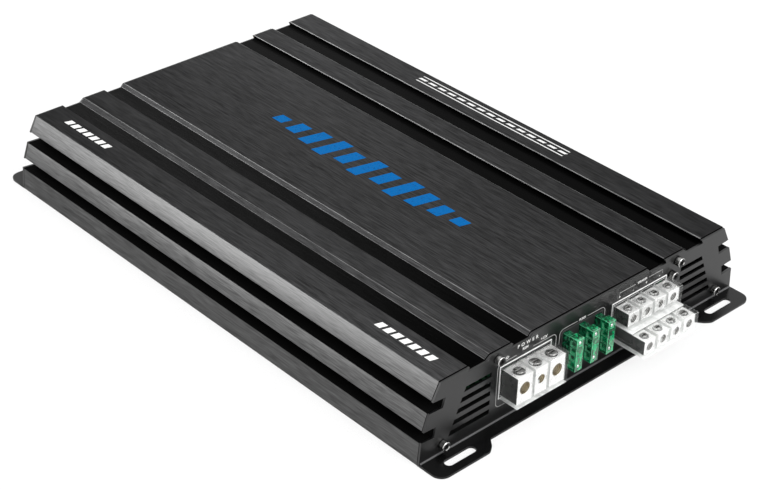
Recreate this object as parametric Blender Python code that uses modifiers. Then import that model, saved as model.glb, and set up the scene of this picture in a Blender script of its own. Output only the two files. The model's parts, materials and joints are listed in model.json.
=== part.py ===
"""A four-channel car audio amplifier, modelled piece by piece as it is assembled.

The frame: +X points out of the terminal end, +Y away from the near long side, +Z up.
The origin is the centre of the underside. Sizes are in millimetres, and the helpers
turn them into Blender's metres.
"""

import math

import bmesh
import bpy

MM = 0.001

# ---------------------------------------------------------------- driving dimensions
HEATSINK_LENGTH = 328.0
HALF_LENGTH = HEATSINK_LENGTH / 2
HALF_WIDTH = 115.0
TOP = 43.5
GAP = 0.3  # clearance between pieces that touch

# Heatsink profile, one half, as (y, z).
GROOVE_DEPTH = 2.0
PANEL_EDGE = 42.2  # half width of the raised centre panel
INNER_GROOVE = (44.0, 56.4)  # floor of the groove beside the centre panel
INNER_BAND = (55.4, 70.4)  # raised band between the two grooves
OUTER_GROOVE = (73.1, 85.4)
OUTER_BAND = (84.3, 102.8)
SIDE_FINS = [  # the side's three fins and two notches, from the top corner down
    (107.6, 33.9),
    (99.3, 33.2),
    (100.9, 27.8),
    (109.6, 28.3),
    (112.8, 18.9),
    (104.8, 18.5),
    (105.9, 12.7),
    (114.0, 13.4),
    (HALF_WIDTH, 0.0),
]
CEILING = 38.5
INNER_WALL = 96.0
COVER_SEAT = (104.0, 1.6)  # half width and height of the step that takes the cover
CARD_SLOT = (98.4, 9.9, 12.1)  # depth, bottom and top of the slot for the main board
BOSS_HALF_WIDTH = 3.8
BOSS_CHAMFER = 1.8
BOSS_BOTTOM = 34.8

# End plates: folded sheet with a foot at each corner.
SHEET = 1.2
PLATE_IN = HALF_LENGTH + GAP
PLATE_OUT = PLATE_IN + SHEET
PLATE_INSET = 0.5  # how far the plate's top edge sits below the heatsink's
LEDGE_OUT = 173.2  # outer edge of the flange between the feet
FOOT_OUT = 180.2
FOOT_INNER = 75.2  # half distance between the two feet's inner ends
FOOT_CORNER = 6.0
SLOT_CENTRE = (173.2, 95.5)
SLOT_LENGTH = 19.5
SLOT_WIDTH = 4.8

VENT_COUNT = 5
VENT_TOP = 31.5  # height of the uppermost vent's middle
VENT_PITCH = 5.45
VENT_HEIGHT = 2.7
VENT_INNER = 69.2
VENT_OUTER = 86.6  # outer end of the uppermost vent; the ends lean outwards below it
VENT_LEAN = 0.42  # outward lean per millimetre of drop

# M3 socket-head screws that hold the end plates, as (y, z) of the four corners.
CORNER_SCREWS = [(-65.5, 38.7), (65.5, 38.7), (-100.0, 5.9), (100.0, 5.9)]
BLOCK_SCREW = (61.7, 31.8)
SCREW_RADIUS = 1.35
SCREW_HOLE = 1.65
HEAD_RADIUS = 2.6
HEAD_HEIGHT = 2.8
HEX_ACROSS = 2.5
SCREW_LENGTH = 9.0

# Power terminals: ground, remote and battery cells across the housing.
POWER_CELLS = {"ground": (-57.2, 12.2, 3.4), "remote": (-46.0, 10.2, 2.5), "battery": (-34.8, 12.2, 3.4)}
POWER_WALL = 1.2
POWER_Z = (14.8, 32.9)
POWER_FRONT = 178.0
POWER_WIRE_Z = 24.2
POWER_SCREW_X = 172.0
POWER_SCREW_RADIUS = 2.7

# Speaker terminals: four columns in two steps.
SPEAKER_COLUMNS = [21.4, 31.55, 41.7, 51.85]
SPEAKER_Y = (16.3, 56.9)
SPEAKER_WALL = 1.1
SPEAKER_BLOCK_WIDTH = 8.0
SPEAKER_TIERS = {
    # name: (bottom, top, front, wire height, screw x)
    "lower": (12.4, 23.0, 188.8, 17.6, 183.3),
    "upper": (23.0, 33.4, 177.0, 28.0, 171.2),
}
SPEAKER_WIRE_RADIUS = 2.3
SPEAKER_SCREW_RADIUS = 1.9

# Blade fuses in one three-way holder.
FUSE_CENTRES = [-17.5, -6.0, 5.5]
FUSE_Z = 23.85
FUSE_FRONT = 175.3
FUSE_HEAD = (5.0, 5.1, 19.1)  # x, y, z size of the part a hand pulls
FUSE_BODY = (7.4, 4.0, 17.4)
BLADE_LENGTH = 6.1
BLADE_WIDTH = 5.2
BLADE_THICKNESS = 0.65
BLADE_SPREAD = 14.5  # outer edge to outer edge
HOLDER_Y = (-21.0, 9.2)
HOLDER_Z = (13.7, 34.1)
HOLDER_BACK = 150.0

# Boards and what stands on them.
BOARD_TOP = 11.8
BOARD_BOTTOM = 10.2
BOARD_HALF = (149.0, 98.1)
FLOOR = BOARD_TOP + GAP

# Controls on the other end, as (y, z).
KNOBS = {
    "front_level": (-4.0, 30.5),
    "front_filter": (-20.0, 30.5),
    "rear_level": (-4.0, 17.0),
    "rear_filter": (-20.0, 17.0),
}
KNOB_RADIUS = 3.0
KNOB_OUT = 4.6
SHAFT_RADIUS = 1.5
POT_SIZE = 9.6
SWITCHES = {"front_range": (13.0, 30.5), "rear_range": (13.0, 17.0)}
SWITCH_TRAVEL = 2.4
SWITCH_CAP = 2.4
SWITCH_SLOT = (8.4, 3.2)
CONTROL_BOARD_X = (154.4, 156.0)
RCA_PAIRS = {"front": 52.0, "rear": 35.0}
RCA_HEIGHTS = (17.0, 30.7)
RCA_RADIUS = 4.2
RCA_HOLE = 1.7
RCA_OUT = 9.5
REMOTE_PORT = (-42.0, 22.0)
REMOTE_OPENING = (9.8, 7.0)
REMOTE_SIZE = (13.4, 12.6)
LED_AT = (-55.0, 22.0)
LED_RADIUS = 1.5

SHARP_ANGLE = math.radians(35)
PARTS = "car_amplifier"
CUTTERS = "cutters"

# Where a prism's outline (u, v) and its thickness w go for each axis it runs across.
ACROSS = {
    "X": lambda u, v, w: (w, u, v),
    "Y": lambda u, v, w: (u, w, v),
    "Z": lambda u, v, w: (u, v, w),
}
# Rotations that point a shape's own +Z along a world direction.
POINTING = {
    "+X": (0, math.pi / 2, 0),
    "-X": (0, -math.pi / 2, 0),
    "+Z": (0, 0, 0),
}


# ---------------------------------------------------------------- helpers
def clear_scene():
    for obj in list(bpy.data.objects):
        bpy.data.objects.remove(obj)
    for name in (PARTS, CUTTERS):
        group = bpy.data.collections.new(name)
        bpy.context.scene.collection.children.link(group)


def make_material(name, colour, roughness, metallic=0.0, transmission=0.0):
    material = bpy.data.materials.new(name)
    material.use_nodes = True
    shader = material.node_tree.nodes["Principled BSDF"]
    shader.inputs["Base Color"].default_value = (*colour, 1.0)
    shader.inputs["Roughness"].default_value = roughness
    shader.inputs["Metallic"].default_value = metallic
    shader.inputs["Transmission Weight"].default_value = transmission
    return material


def place(obj, material=None):
    """Puts an object with the parts, or with the cutters if it has no material."""
    bpy.data.collections[PARTS if material else CUTTERS].objects.link(obj)
    if material:
        obj.data.materials.append(material)
    else:
        obj.hide_render = True
        obj.display_type = "WIRE"
    return obj


def from_bmesh(name, mesh_maker, centre, rotation=(0, 0, 0), material=None):
    shape = bmesh.new()
    mesh_maker(shape)
    mesh = bpy.data.meshes.new(name)
    shape.to_mesh(mesh)
    shape.free()
    obj = bpy.data.objects.new(name, mesh)
    obj.location = [value * MM for value in centre]
    obj.rotation_euler = rotation
    return place(obj, material)


def smooth(obj):
    obj.data.shade_smooth()
    obj.data.set_sharp_from_angle(angle=SHARP_ANGLE)
    return obj


def box(name, low, high, material=None):
    """A box between two corners, with its origin in its middle."""
    size = [(b - a) * MM for a, b in zip(low, high)]
    centre = [(a + b) / 2 for a, b in zip(low, high)]

    def make(shape):
        bmesh.ops.create_cube(shape, size=1.0)
        bmesh.ops.scale(shape, vec=size, verts=shape.verts)

    return from_bmesh(name, make, centre, material=material)


def rod(name, start, direction, radius, length, sides=16, material=None):
    """A cylinder that begins at start; its origin is there."""

    def make(shape):
        bmesh.ops.create_cone(
            shape, cap_ends=True, segments=sides, radius1=radius * MM, radius2=radius * MM, depth=length * MM
        )
        bmesh.ops.translate(shape, vec=(0, 0, length / 2 * MM), verts=shape.verts)

    return smooth(from_bmesh(name, make, start, POINTING[direction], material))


def prism(name, outline, thickness, across, middle, material=None, holes=()):
    """A flat outline with holes, extruded across a world axis and centred on middle."""
    curve = bpy.data.curves.new(name, "CURVE")
    curve.dimensions = "2D"
    curve.fill_mode = "BOTH"
    curve.extrude = thickness / 2 * MM
    for points in [outline, *holes]:
        spline = curve.splines.new("POLY")
        spline.points.add(len(points) - 1)
        for point, (u, v) in zip(spline.points, points):
            point.co = (u * MM, v * MM, 0, 1)
        spline.use_cyclic_u = True
    drawn = bpy.data.objects.new(name + "_outline", curve)
    bpy.context.scene.collection.objects.link(drawn)
    graph = bpy.context.evaluated_depsgraph_get()
    mesh = bpy.data.meshes.new_from_object(drawn.evaluated_get(graph))
    bpy.data.objects.remove(drawn)
    shape = bmesh.new()
    shape.from_mesh(mesh)
    bmesh.ops.remove_doubles(shape, verts=shape.verts, dist=1e-6)
    for vert in shape.verts:
        vert.co = ACROSS[across](*vert.co)
    bmesh.ops.recalc_face_normals(shape, faces=shape.faces)
    if shape.calc_volume(signed=True) < 0:
        bmesh.ops.reverse_faces(shape, faces=shape.faces)
    shape.to_mesh(mesh)
    shape.free()
    mesh.name = name
    obj = bpy.data.objects.new(name, mesh)
    obj.location["XYZ".index(across)] = middle * MM
    return place(obj, material)


def turned(name, profile, at, direction, material, steps=16):
    """A turned piece: profile is (radius, height) down its outer side, from axis to axis."""
    mesh = bpy.data.meshes.new(name)
    points = [(radius * MM, 0, height * MM) for radius, height in profile]
    edges = [(i, i + 1) for i in range(len(points) - 1)]
    mesh.from_pydata(points, edges, [])
    obj = bpy.data.objects.new(name, mesh)
    obj.location = [value * MM for value in at]
    obj.rotation_euler = POINTING[direction]
    screw = obj.modifiers.new("turn", "SCREW")
    screw.steps = steps
    screw.render_steps = steps
    screw.use_merge_vertices = True
    screw.merge_threshold = 1e-6
    return place(obj, material)


def combine(obj, other, operation):
    modifier = obj.modifiers.new(operation.lower(), "BOOLEAN")
    modifier.operation = operation
    modifier.object = other
    modifier.solver = "EXACT"


def cut(obj, *cutters):
    for cutter in cutters:
        combine(obj, cutter, "DIFFERENCE")


def join(obj, *others):
    for other in others:
        combine(obj, other, "UNION")


def circle(centre, radius, sides=16):
    step = 2 * math.pi / sides
    return [
        (centre[0] + radius * math.cos(i * step), centre[1] + radius * math.sin(i * step))
        for i in range(sides)
    ]


def rectangle(low_u, high_u, low_v, high_v):
    return [(low_u, low_v), (high_u, low_v), (high_u, high_v), (low_u, high_v)]


def arc(centre, radius, start_deg, end_deg, steps=6):
    angles = [math.radians(start_deg + (end_deg - start_deg) * i / steps) for i in range(steps + 1)]
    return [(centre[0] + radius * math.cos(a), centre[1] + radius * math.sin(a)) for a in angles]


def mirrored(half):
    """A closed outline from its y > 0 half, which runs from the upper middle outwards."""
    return half + [(-y, z) for y, z in reversed(half)]


# ---------------------------------------------------------------- casing
def top_profile(top):
    """The raised bands and grooves of the top, from the middle outwards."""
    floor = top - GROOVE_DEPTH
    return [
        (PANEL_EDGE, top),
        (INNER_GROOVE[0], floor),
        (INNER_GROOVE[1], floor),
        (INNER_BAND[0], top),
        (INNER_BAND[1], top),
        (OUTER_GROOVE[0], floor),
        (OUTER_GROOVE[1], floor),
        (OUTER_BAND[0], top),
        (OUTER_BAND[1], top),
    ]


def make_heatsink(aluminium):
    """One extrusion makes the top and both finned sides."""
    boss_y = CORNER_SCREWS[1][0]
    boss = [
        (boss_y + BOSS_HALF_WIDTH, CEILING),
        (boss_y + BOSS_HALF_WIDTH, BOSS_BOTTOM + BOSS_CHAMFER),
        (boss_y + BOSS_HALF_WIDTH - BOSS_CHAMFER, BOSS_BOTTOM),
        (boss_y - BOSS_HALF_WIDTH + BOSS_CHAMFER, BOSS_BOTTOM),
        (boss_y - BOSS_HALF_WIDTH, BOSS_BOTTOM + BOSS_CHAMFER),
        (boss_y - BOSS_HALF_WIDTH, CEILING),
    ]
    slot_depth, slot_bottom, slot_top = CARD_SLOT
    inside = [
        (COVER_SEAT[0], 0.0),
        COVER_SEAT,
        (INNER_WALL, COVER_SEAT[1]),
        (INNER_WALL, slot_bottom),
        (slot_depth, slot_bottom),
        (slot_depth, slot_top),
        (INNER_WALL, slot_top),
        (INNER_WALL, CEILING),
        *boss,
    ]
    half = top_profile(TOP) + SIDE_FINS + inside
    channels = [circle(corner, SCREW_HOLE, 12) for corner in CORNER_SCREWS]
    prism("heatsink", mirrored(half), HEATSINK_LENGTH, "X", 0, aluminium, channels)


def make_bottom_cover(steel):
    half_x = HALF_LENGTH - GAP
    half_y = COVER_SEAT[0] - GAP
    box("bottom_cover", (-half_x, -half_y, 0), (half_x, half_y, SHEET), steel)


def vents(side):
    """The five slanted vents on one side of an end plate."""
    slots = []
    for row in range(VENT_COUNT):
        middle = VENT_TOP - row * VENT_PITCH
        corners = []
        for z in (middle - VENT_HEIGHT / 2, middle + VENT_HEIGHT / 2):
            lean = (VENT_TOP - z) * VENT_LEAN
            corners.append((side * VENT_INNER, z))
            corners.append((side * (VENT_OUTER + lean), z))
        corners[2], corners[3] = corners[3], corners[2]
        slots.append(corners)
    return slots


def flange_outline(side):
    """The flange and its two feet at one end, as (x, y); side is 1 or -1 along X."""
    edge = HALF_WIDTH
    half = [
        (LEDGE_OUT, FOOT_INNER),
        (FOOT_OUT - 2.4, FOOT_INNER + 3.6),
        *arc((FOOT_OUT - 4, FOOT_INNER + 8.2), 4, -40, 0, 3),
        *arc((FOOT_OUT - FOOT_CORNER, edge - FOOT_CORNER), FOOT_CORNER, 0, 90),
        (PLATE_IN + SHEET / 2, edge),
    ]
    whole = half + [(x, -y) for x, y in reversed(half)]
    return [(side * x, y) for x, y in whole]


def foot_slot(side, y):
    """A mounting slot with round ends, along Y."""
    x = side * SLOT_CENTRE[0]
    radius = SLOT_WIDTH / 2
    reach = SLOT_LENGTH / 2 - radius
    return arc((x, y + reach), radius, 0, 180, 8) + arc((x, y - reach), radius, 180, 360, 8)


def make_end_plate(name, side, openings, steel):
    """Folded steel: a panel with the heatsink's outline, and a flange with two feet."""
    top = TOP - PLATE_INSET
    outline = mirrored(top_profile(top) + SIDE_FINS)
    screw_holes = [circle(corner, SCREW_HOLE, 12) for corner in CORNER_SCREWS]
    holes = vents(1) + vents(-1) + screw_holes + openings
    middle = side * (PLATE_IN + PLATE_OUT) / 2
    plate = prism(name, outline, SHEET, "X", middle, steel)
    for number, hole in enumerate(holes):
        cut(plate, prism(f"{name}_opening_{number}", hole, 3 * SHEET, "X", middle))
    slots = [foot_slot(side, y) for y in (-SLOT_CENTRE[1], SLOT_CENTRE[1])]
    flange = prism(name + "_flange", flange_outline(side), SHEET, "Z", SHEET / 2, holes=slots)
    join(plate, flange)


def make_screw(name, side, corner, steel):
    """A socket-head screw whose head bears on the plate's outer face."""
    seat = PLATE_OUT + GAP
    profile = [
        (0, HEAD_HEIGHT),
        (HEAD_RADIUS - 0.3, HEAD_HEIGHT),
        (HEAD_RADIUS, HEAD_HEIGHT - 0.3),
        (HEAD_RADIUS, 0),
        (SCREW_RADIUS, 0),
        (SCREW_RADIUS, -SCREW_LENGTH),
        (0, -SCREW_LENGTH),
    ]
    direction = "+X" if side > 0 else "-X"
    screw = turned(name, profile, (side * seat, *corner), direction, steel)
    socket_start = (side * (seat + HEAD_HEIGHT - 1.5), *corner)
    hex_radius = HEX_ACROSS / math.sqrt(3)
    cut(screw, rod(name + "_socket", socket_start, direction, hex_radius, 3.0, 6))


# ---------------------------------------------------------------- power terminals
def make_power_terminals(clear_plastic, nickel, steel):
    first = POWER_CELLS["ground"]
    last = POWER_CELLS["battery"]
    low = (PLATE_OUT + GAP, first[0] - first[1] / 2, POWER_Z[0])
    high = (POWER_FRONT, last[0] + last[1] / 2, POWER_Z[1])
    housing = box("power_terminal_housing", low, high, clear_plastic)
    for name, (y, width, wire_radius) in POWER_CELLS.items():
        half = (width - POWER_WALL) / 2
        label = "power_cell_" + name
        cut(
            housing,
            box(
                label,
                (low[0] - 2, y - half, POWER_Z[0] + POWER_WALL),
                (POWER_FRONT - POWER_WALL, y + half, POWER_Z[1] - POWER_WALL),
            ),
            rod(label + "_wire", (POWER_FRONT - 4, y, POWER_WIRE_Z), "+X", wire_radius + 0.4, 8),
            rod(label + "_driver", (POWER_SCREW_X, y, POWER_Z[1] - 3), "+Z", POWER_SCREW_RADIUS + 0.5, 8),
        )
        make_clamp(
            "power_clamp_block_" + name,
            (y, 2 * (half - GAP)),
            (low[0] + GAP, POWER_FRONT - POWER_WALL - GAP),
            (POWER_Z[0] + POWER_WALL + GAP, POWER_Z[1] - POWER_WALL - GAP),
            156.5,
            1.6,
            (POWER_WIRE_Z, wire_radius),
            (POWER_SCREW_X, POWER_SCREW_RADIUS + GAP),
            nickel,
        )
        make_clamp_screw(
            "power_clamp_screw_" + name,
            (POWER_SCREW_X, y, POWER_WIRE_Z + wire_radius + 0.3),
            POWER_SCREW_RADIUS,
            POWER_Z[1] - 0.6,
            steel,
        )


def make_clamp(name, across, x_range, z_range, tail_end, tail, wire, screw, nickel):
    """A metal clamp: a block with a wire hole and a screw hole, and a tail to the board."""
    y, width = across
    back, front = x_range
    bottom, top = z_range
    tail_bottom = bottom + 0.6
    outline = [
        (front, bottom),
        (front, top),
        (back, top),
        (back, tail_bottom + tail),
        (tail_end, tail_bottom + tail),
        (tail_end, FLOOR),
        (tail_end + tail, FLOOR),
        (tail_end + tail, tail_bottom),
        (back, tail_bottom),
        (back, bottom),
    ]
    block = prism(name, outline, width, "Y", y, nickel)
    wire_z, wire_radius = wire
    screw_x, screw_radius = screw
    cut(
        block,
        rod(name + "_wire_hole", (back + 1.0, y, wire_z), "+X", wire_radius, front - back + 3, 12),
        rod(name + "_screw_hole", (screw_x, y, wire_z), "+Z", screw_radius, top - wire_z + 3, 12),
    )


def make_clamp_screw(name, foot, radius, top, steel):
    """A grub screw, standing on its axis, with a slot across its top."""
    height = top - foot[2]
    profile = [
        (0, height),
        (radius - 0.3, height),
        (radius, height - 0.3),
        (radius, 0),
        (0, 0),
    ]
    screw = turned(name, profile, foot, "+Z", steel, 12)
    x, y, _ = foot
    slot_low = (x - 0.4, y - radius - 1, top - 1.2)
    slot_high = (x + 0.4, y + radius + 1, top + 1)
    cut(screw, box(name + "_slot", slot_low, slot_high))


# ---------------------------------------------------------------- speaker terminals
def make_speaker_terminals(clear_plastic, nickel, steel):
    back = PLATE_OUT + GAP
    lower, upper = SPEAKER_TIERS["lower"], SPEAKER_TIERS["upper"]
    steps = [
        (back, lower[0]),
        (lower[2], lower[0]),
        (lower[2], lower[1]),
        (upper[2], lower[1]),
        (upper[2], upper[1]),
        (back, upper[1]),
    ]
    width = SPEAKER_Y[1] - SPEAKER_Y[0]
    middle = sum(SPEAKER_Y) / 2
    housing = prism("speaker_terminal_housing", steps, width, "Y", middle, clear_plastic)
    half = SPEAKER_BLOCK_WIDTH / 2 + GAP
    for tier, (bottom, top, front, wire_z, screw_x) in SPEAKER_TIERS.items():
        for number, y in enumerate(SPEAKER_COLUMNS, 1):
            label = f"{tier}_{number}"
            cut(
                housing,
                box(
                    "speaker_cell_" + label,
                    (back - 2, y - half, bottom + SPEAKER_WALL),
                    (front - SPEAKER_WALL, y + half, top - SPEAKER_WALL),
                ),
                rod("speaker_wire_" + label, (front - 3, y, wire_z), "+X", SPEAKER_WIRE_RADIUS + 0.3, 6, 12),
                rod("speaker_driver_" + label, (screw_x, y, top - 2.5), "+Z", SPEAKER_SCREW_RADIUS + 0.4, 5, 12),
            )
            make_clamp(
                "speaker_clamp_block_" + label,
                (y, SPEAKER_BLOCK_WIDTH),
                (screw_x - 4.4, front - SPEAKER_WALL - GAP),
                (bottom + SPEAKER_WALL + GAP, top - SPEAKER_WALL - GAP),
                157.0 if tier == "lower" else 153.0,
                1.2,
                (wire_z, SPEAKER_WIRE_RADIUS),
                (screw_x, SPEAKER_SCREW_RADIUS + GAP),
                nickel,
            )
            make_clamp_screw(
                "speaker_clamp_screw_" + label,
                (screw_x, y, wire_z + SPEAKER_WIRE_RADIUS - 0.4),
                SPEAKER_SCREW_RADIUS,
                top - 0.4,
                steel,
            )


# ---------------------------------------------------------------- fuses
def make_fuses(black_plastic, green_plastic, tin):
    step = HALF_LENGTH - GAP
    outline = [
        (HOLDER_BACK, FLOOR),
        (step, FLOOR),
        (step, HOLDER_Z[0]),
        (PLATE_OUT + GAP, HOLDER_Z[0]),
        (PLATE_OUT + GAP, HOLDER_Z[1]),
        (HOLDER_BACK, HOLDER_Z[1]),
    ]
    width = HOLDER_Y[1] - HOLDER_Y[0]
    holder = prism("fuse_holder", outline, width, "Y", sum(HOLDER_Y) / 2, black_plastic)
    head_back = FUSE_FRONT - FUSE_HEAD[0]
    body_back = head_back - FUSE_BODY[0]
    for number, y in enumerate(FUSE_CENTRES, 1):
        pocket_y = FUSE_BODY[1] / 2 + GAP
        pocket_z = FUSE_BODY[2] / 2 + GAP
        cut(
            holder,
            box(
                f"fuse_pocket_{number}",
                (body_back - BLADE_LENGTH - 1.5, y - pocket_y, FUSE_Z - pocket_z),
                (FUSE_FRONT, y + pocket_y, FUSE_Z + pocket_z),
            ),
        )
        make_fuse(number, y, head_back, body_back, green_plastic, tin)


def make_fuse(number, y, head_back, body_back, green_plastic, tin):
    """A blade fuse: a plastic body, and a link with two blades that slides in from behind."""
    half_head = FUSE_HEAD[2] / 2
    half_body = FUSE_BODY[2] / 2
    body = box(
        f"fuse_body_{number}",
        (head_back, y - FUSE_HEAD[1] / 2, FUSE_Z - half_head),
        (FUSE_FRONT, y + FUSE_HEAD[1] / 2, FUSE_Z + half_head),
        green_plastic,
    )
    stem = box(
        f"fuse_stem_{number}",
        (body_back, y - FUSE_BODY[1] / 2, FUSE_Z - half_body),
        (head_back + 0.5, y + FUSE_BODY[1] / 2, FUSE_Z + half_body),
    )
    join(body, stem)
    link_front = FUSE_FRONT - 2.2
    cavity_y = BLADE_THICKNESS / 2 + GAP
    cavity_z = BLADE_SPREAD / 2 + GAP
    cavity = box(
        f"fuse_cavity_{number}",
        (body_back - 1, y - cavity_y, FUSE_Z - cavity_z),
        (link_front + GAP, y + cavity_y, FUSE_Z + cavity_z),
    )
    cut(body, cavity)
    outer = BLADE_SPREAD / 2
    inner = outer - BLADE_WIDTH
    blade_end = body_back - BLADE_LENGTH
    half = [
        (link_front - 4.4, 0.6),
        (link_front - 6.0, inner),
        (blade_end, inner),
        (blade_end, outer - 0.8),
        (blade_end + 0.8, outer),
        (link_front, outer),
        (link_front, inner),
        (link_front - 3.2, 0.6),
    ]
    outline = [(x, FUSE_Z + z) for x, z in half + [(x, -z) for x, z in reversed(half)]]
    prism(f"fuse_link_{number}", outline, BLADE_THICKNESS, "Y", y, tin)


# ---------------------------------------------------------------- control end
def make_knobs(black_plastic):
    """Trimmer knobs: each turns on its own axis, which is its origin."""
    for name, (y, z) in KNOBS.items():
        seat = PLATE_OUT + 0.5
        tip = KNOB_OUT
        profile = [
            (0, tip),
            (KNOB_RADIUS - 0.5, tip),
            (KNOB_RADIUS, tip - 0.5),
            (KNOB_RADIUS, 0),
            (SHAFT_RADIUS, 0),
            (SHAFT_RADIUS, -8.0),
            (0, -8.0),
        ]
        knob = turned("knob_" + name, profile, (-seat, y, z), "-X", black_plastic)
        slot_low = (-seat - tip - 1, y - 0.5, z - KNOB_RADIUS + 0.6)
        slot_high = (-seat - tip + 1.4, y + 0.5, z + KNOB_RADIUS - 0.6)
        cut(knob, box("slot_" + name, slot_low, slot_high))


def make_switches(black_plastic):
    for name, (y, z) in SWITCHES.items():
        half = SWITCH_CAP / 2
        low = (-PLATE_OUT - 2.6, y - half, z - half)
        high = (-PLATE_OUT + 6.0, y + half, z + half)
        box("switch_" + name, low, high, black_plastic)


def make_control_board(green_board):
    """A small upright board with the potentiometers' and switches' cases on it."""
    inner, outer = CONTROL_BOARD_X
    board = box("control_board", (-outer, -29.0, FLOOR), (-inner, 22.0, 37.0), green_board)
    front = HALF_LENGTH - GAP
    for name, (y, z) in KNOBS.items():
        half = POT_SIZE / 2
        low = (-front, y - half, z - half)
        high = (-outer + 0.4, y + half, z + half)
        join(board, box("pot_case_" + name, low, high))
    for name, (y, z) in SWITCHES.items():
        low = (-front, y - 6.5, z - 3.2)
        high = (-outer + 0.4, y + 6.5, z + 3.2)
        join(board, box("switch_case_" + name, low, high))
    for name, (y, z) in KNOBS.items():
        cut(board, rod("pot_bore_" + name, (-157.4, y, z), "-X", SHAFT_RADIUS + 0.35, 10, 16))
    for name, (y, z) in SWITCHES.items():
        half_y, half_z = SWITCH_SLOT[0] / 2, SWITCH_SLOT[1] / 2
        low = (-front - 1, y - half_y, z - half_z)
        high = (-158.8, y + half_y, z + half_z)
        cut(board, box("switch_track_" + name, low, high))


def make_inputs(black_plastic, lens):
    front = HALF_LENGTH - GAP
    for name, y in RCA_PAIRS.items():
        jack = box("rca_jacks_" + name, (-front, y - 6.0, FLOOR), (-151.0, y + 6.0, 37.0), black_plastic)
        for z in RCA_HEIGHTS:
            reach = PLATE_OUT - front + RCA_OUT
            label = f"rca_{name}_{z:.0f}"
            join(jack, rod(label + "_barrel", (-front + 1, y, z), "-X", RCA_RADIUS, reach + 1))
            cut(jack, rod(label + "_hole", (-front - 0.5, y, z), "-X", RCA_HOLE, reach + 2, 12))
    y, z = REMOTE_PORT
    half_y, half_z = REMOTE_SIZE[0] / 2, REMOTE_SIZE[1] / 2
    out = PLATE_OUT + GAP
    port = box("remote_port", (-out, y - half_y, z - half_z), (-151.0, y + half_y, z + half_z), black_plastic)
    half_y, half_z = REMOTE_OPENING[0] / 2, REMOTE_OPENING[1] / 2
    cut(port, box("remote_socket", (-out - 2, y - half_y, z - half_z), (-154.0, y + half_y, z + half_z)))
    y, z = LED_AT
    dome = [
        (0, 2.0),
        (LED_RADIUS * 0.6, 1.7),
        (LED_RADIUS, 0.8),
        (LED_RADIUS, -1.5),
        (LED_RADIUS + 0.4, -1.5),
        (LED_RADIUS + 0.4, -3.0),
        (0, -3.0),
    ]
    turned("status_light", dome, (-PLATE_OUT, y, z), "-X", lens, 12)


# ---------------------------------------------------------------- inside
def make_boards(green_board, black_plastic, iron):
    """The main board, and the power parts that stand on it."""
    half_x, half_y = BOARD_HALF
    box("main_board", (-half_x, -half_y, BOARD_BOTTOM), (half_x, half_y, BOARD_TOP), green_board)
    make_toroid(iron)
    make_capacitors(black_plastic)
    for side, name in ((-1, "near"), (1, "far")):
        make_transistors("transistor_bank_" + name, side, black_plastic)


def make_toroid(iron):
    ring, tube = 17.0, 9.0

    def make(shape):
        profile = [
            shape.verts.new(((ring + tube * math.cos(a)) * MM, 0, tube * math.sin(a) * MM))
            for a in (2 * math.pi * i / 10 for i in range(10))
        ]
        edges = [shape.edges.new((profile[i], profile[(i + 1) % 10])) for i in range(10)]
        bmesh.ops.spin(
            shape, geom=profile + edges, angle=2 * math.pi, steps=24, axis=(0, 0, 1), use_merge=True
        )
        bmesh.ops.remove_doubles(shape, verts=shape.verts, dist=1e-6)
        bmesh.ops.recalc_face_normals(shape, faces=shape.faces)

    smooth(from_bmesh("toroid_transformer", make, (112, -45, FLOOR + tube), material=iron))


def make_capacitors(black_plastic):
    """Four filter capacitors, held together by the pad that they are glued to."""
    spacing, radius, height = 24.0, 11.0, 24.0
    centre_x, centre_y = 55.0, -37.0
    reach = spacing / 2 + radius
    low = (centre_x - reach, centre_y - reach, FLOOR)
    high = (centre_x + reach, centre_y + reach, FLOOR + 2)
    pad = box("capacitor_bank", low, high, black_plastic)
    for column in (-1, 1):
        for row in (-1, 1):
            start = (centre_x + column * spacing / 2, centre_y + row * spacing / 2, FLOOR + 1)
            join(pad, rod(f"capacitor_{column}_{row}", start, "+Z", radius - 0.4, height))


def make_transistors(name, side, black_plastic):
    """Eight power transistors behind one clamping bar, against a side wall."""
    count, pitch, half_width = 8, 30.0, 5.1
    first = -(count - 1) * pitch / 2
    bar_bottom, bar_top = 20.0, 27.0
    case_bottom, case_top = 14.5, 30.0
    half_leg = 3.6
    lower, upper = [], []
    for i in range(count):
        x = first + i * pitch
        lower += [
            (x - half_width, bar_bottom),
            (x - half_width, case_bottom),
            (x - half_leg, case_bottom),
            (x - half_leg, FLOOR),
            (x + half_leg, FLOOR),
            (x + half_leg, case_bottom),
            (x + half_width, case_bottom),
            (x + half_width, bar_bottom),
        ]
        upper += [
            (x - half_width, bar_top),
            (x - half_width, case_top),
            (x + half_width, case_top),
            (x + half_width, bar_top),
        ]
    end = -first + 14
    outline = [(-end, bar_bottom), *lower, (end, bar_bottom), (end, bar_top), *reversed(upper), (-end, bar_top)]
    thickness = 4.6
    middle = side * (INNER_WALL - GAP - thickness / 2)
    prism(name, outline, thickness, "Y", middle, black_plastic)


# ---------------------------------------------------------------- the whole
def terminal_openings():
    power_low = POWER_CELLS["ground"][0] - POWER_CELLS["ground"][1] / 2 + 0.3
    power_high = POWER_CELLS["battery"][0] + POWER_CELLS["battery"][1] / 2 - 0.3
    return [
        rectangle(power_low, power_high, POWER_Z[0] + 1.0, POWER_Z[1] - 1.4),
        rectangle(SPEAKER_Y[0] + 0.7, SPEAKER_Y[1] - 0.7, SPEAKER_TIERS["lower"][0] + 1.0, 32.2),
        rectangle(HOLDER_Y[0] - GAP, HOLDER_Y[1] + GAP, HOLDER_Z[0] - GAP, HOLDER_Z[1] + GAP),
        circle(BLOCK_SCREW, SCREW_HOLE, 12),
    ]


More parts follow.
